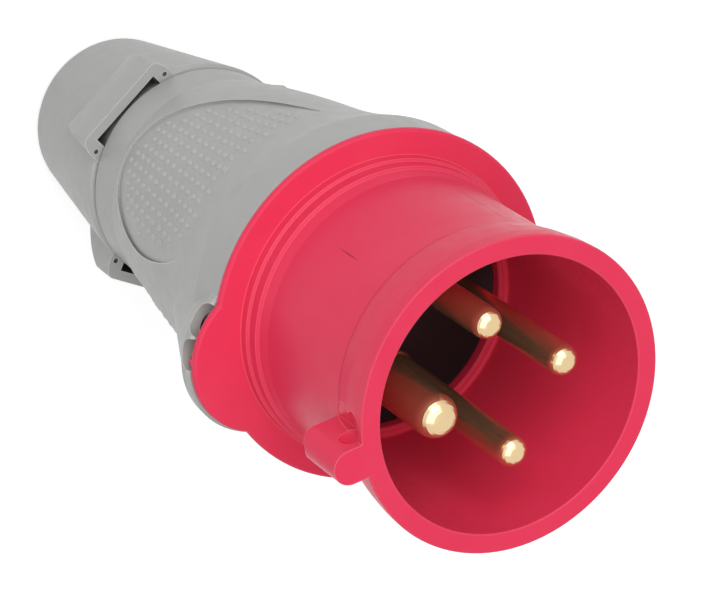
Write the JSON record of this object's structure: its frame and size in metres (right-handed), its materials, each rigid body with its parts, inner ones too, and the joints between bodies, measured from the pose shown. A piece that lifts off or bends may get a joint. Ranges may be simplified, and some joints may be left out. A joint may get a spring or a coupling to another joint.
{
  "type": "industrial pin and sleeve plug",
  "caption": "Cable plug with a round shrouding sleeve, keyed rib, round contact pins in a ring, flanged collar, tapered grip housing and screwed cable gland nut",
  "frame": {"origin": "centre of the gland nut's flat rear face, on the plug's axis, where the cable enters and on which the plug stands", "axes": "+Z along the plug's axis from the cable entry to the pins, -Y towards the keyway and the earth pin, +X to the right seen from the key side"},
  "size_m": [0.059, 0.0639, 0.145],
  "materials": {
    "grey_shell": "fine satin moulded",
    "red_shell": "smooth semi-gloss moulded",
    "black_insert": "satin moulded",
    "dark_plastic": "satin moulded",
    "seal_rubber": "matt",
    "contact_brass": "turned, bright",
    "screw_steel": "bright zinc"
  },
  "bodies": {
    "plug": {"sealing_grommet": "seal_rubber", "entry_seal": "seal_rubber", "rear_housing": "grey_shell", "front_gasket": "seal_rubber", "front_sleeve": "red_shell", "contact_carrier": "black_insert", "carrier_ring": "dark_plastic", "contact_plate": "dark_plastic", "plate_screw": "screw_steel", "earth_pin": "contact_brass", "phase_pin_l1": "contact_brass", "phase_pin_l2": "contact_brass", "phase_pin_l3": "contact_brass", "earth_terminal_screw": "screw_steel", "terminal_screw_l1": "screw_steel", "terminal_screw_l2": "screw_steel", "terminal_screw_l3": "screw_steel"},
    "gland_inner": {"thrust_ring": "dark_plastic", "clamp_cage": "dark_plastic"},
    "gland": {"gland_nut": "grey_shell"}
  },
  "joints": [
    {"name": "gland_travel", "type": "slide", "parent": "plug", "child": "gland_inner", "axis": [0, 0, -1], "range_m": [0, 0.006]},
    {"name": "gland_turn", "type": "hinge", "parent": "gland_inner", "child": "gland", "pos_m": [0, 0, 0], "axis": [0, 0, -1], "range_deg": [0, 1080]}
  ],
  "couplings": [
    {"joint": "gland_turn", "follows": "gland_travel", "rad_per_m": 3141.6}
  ]
}
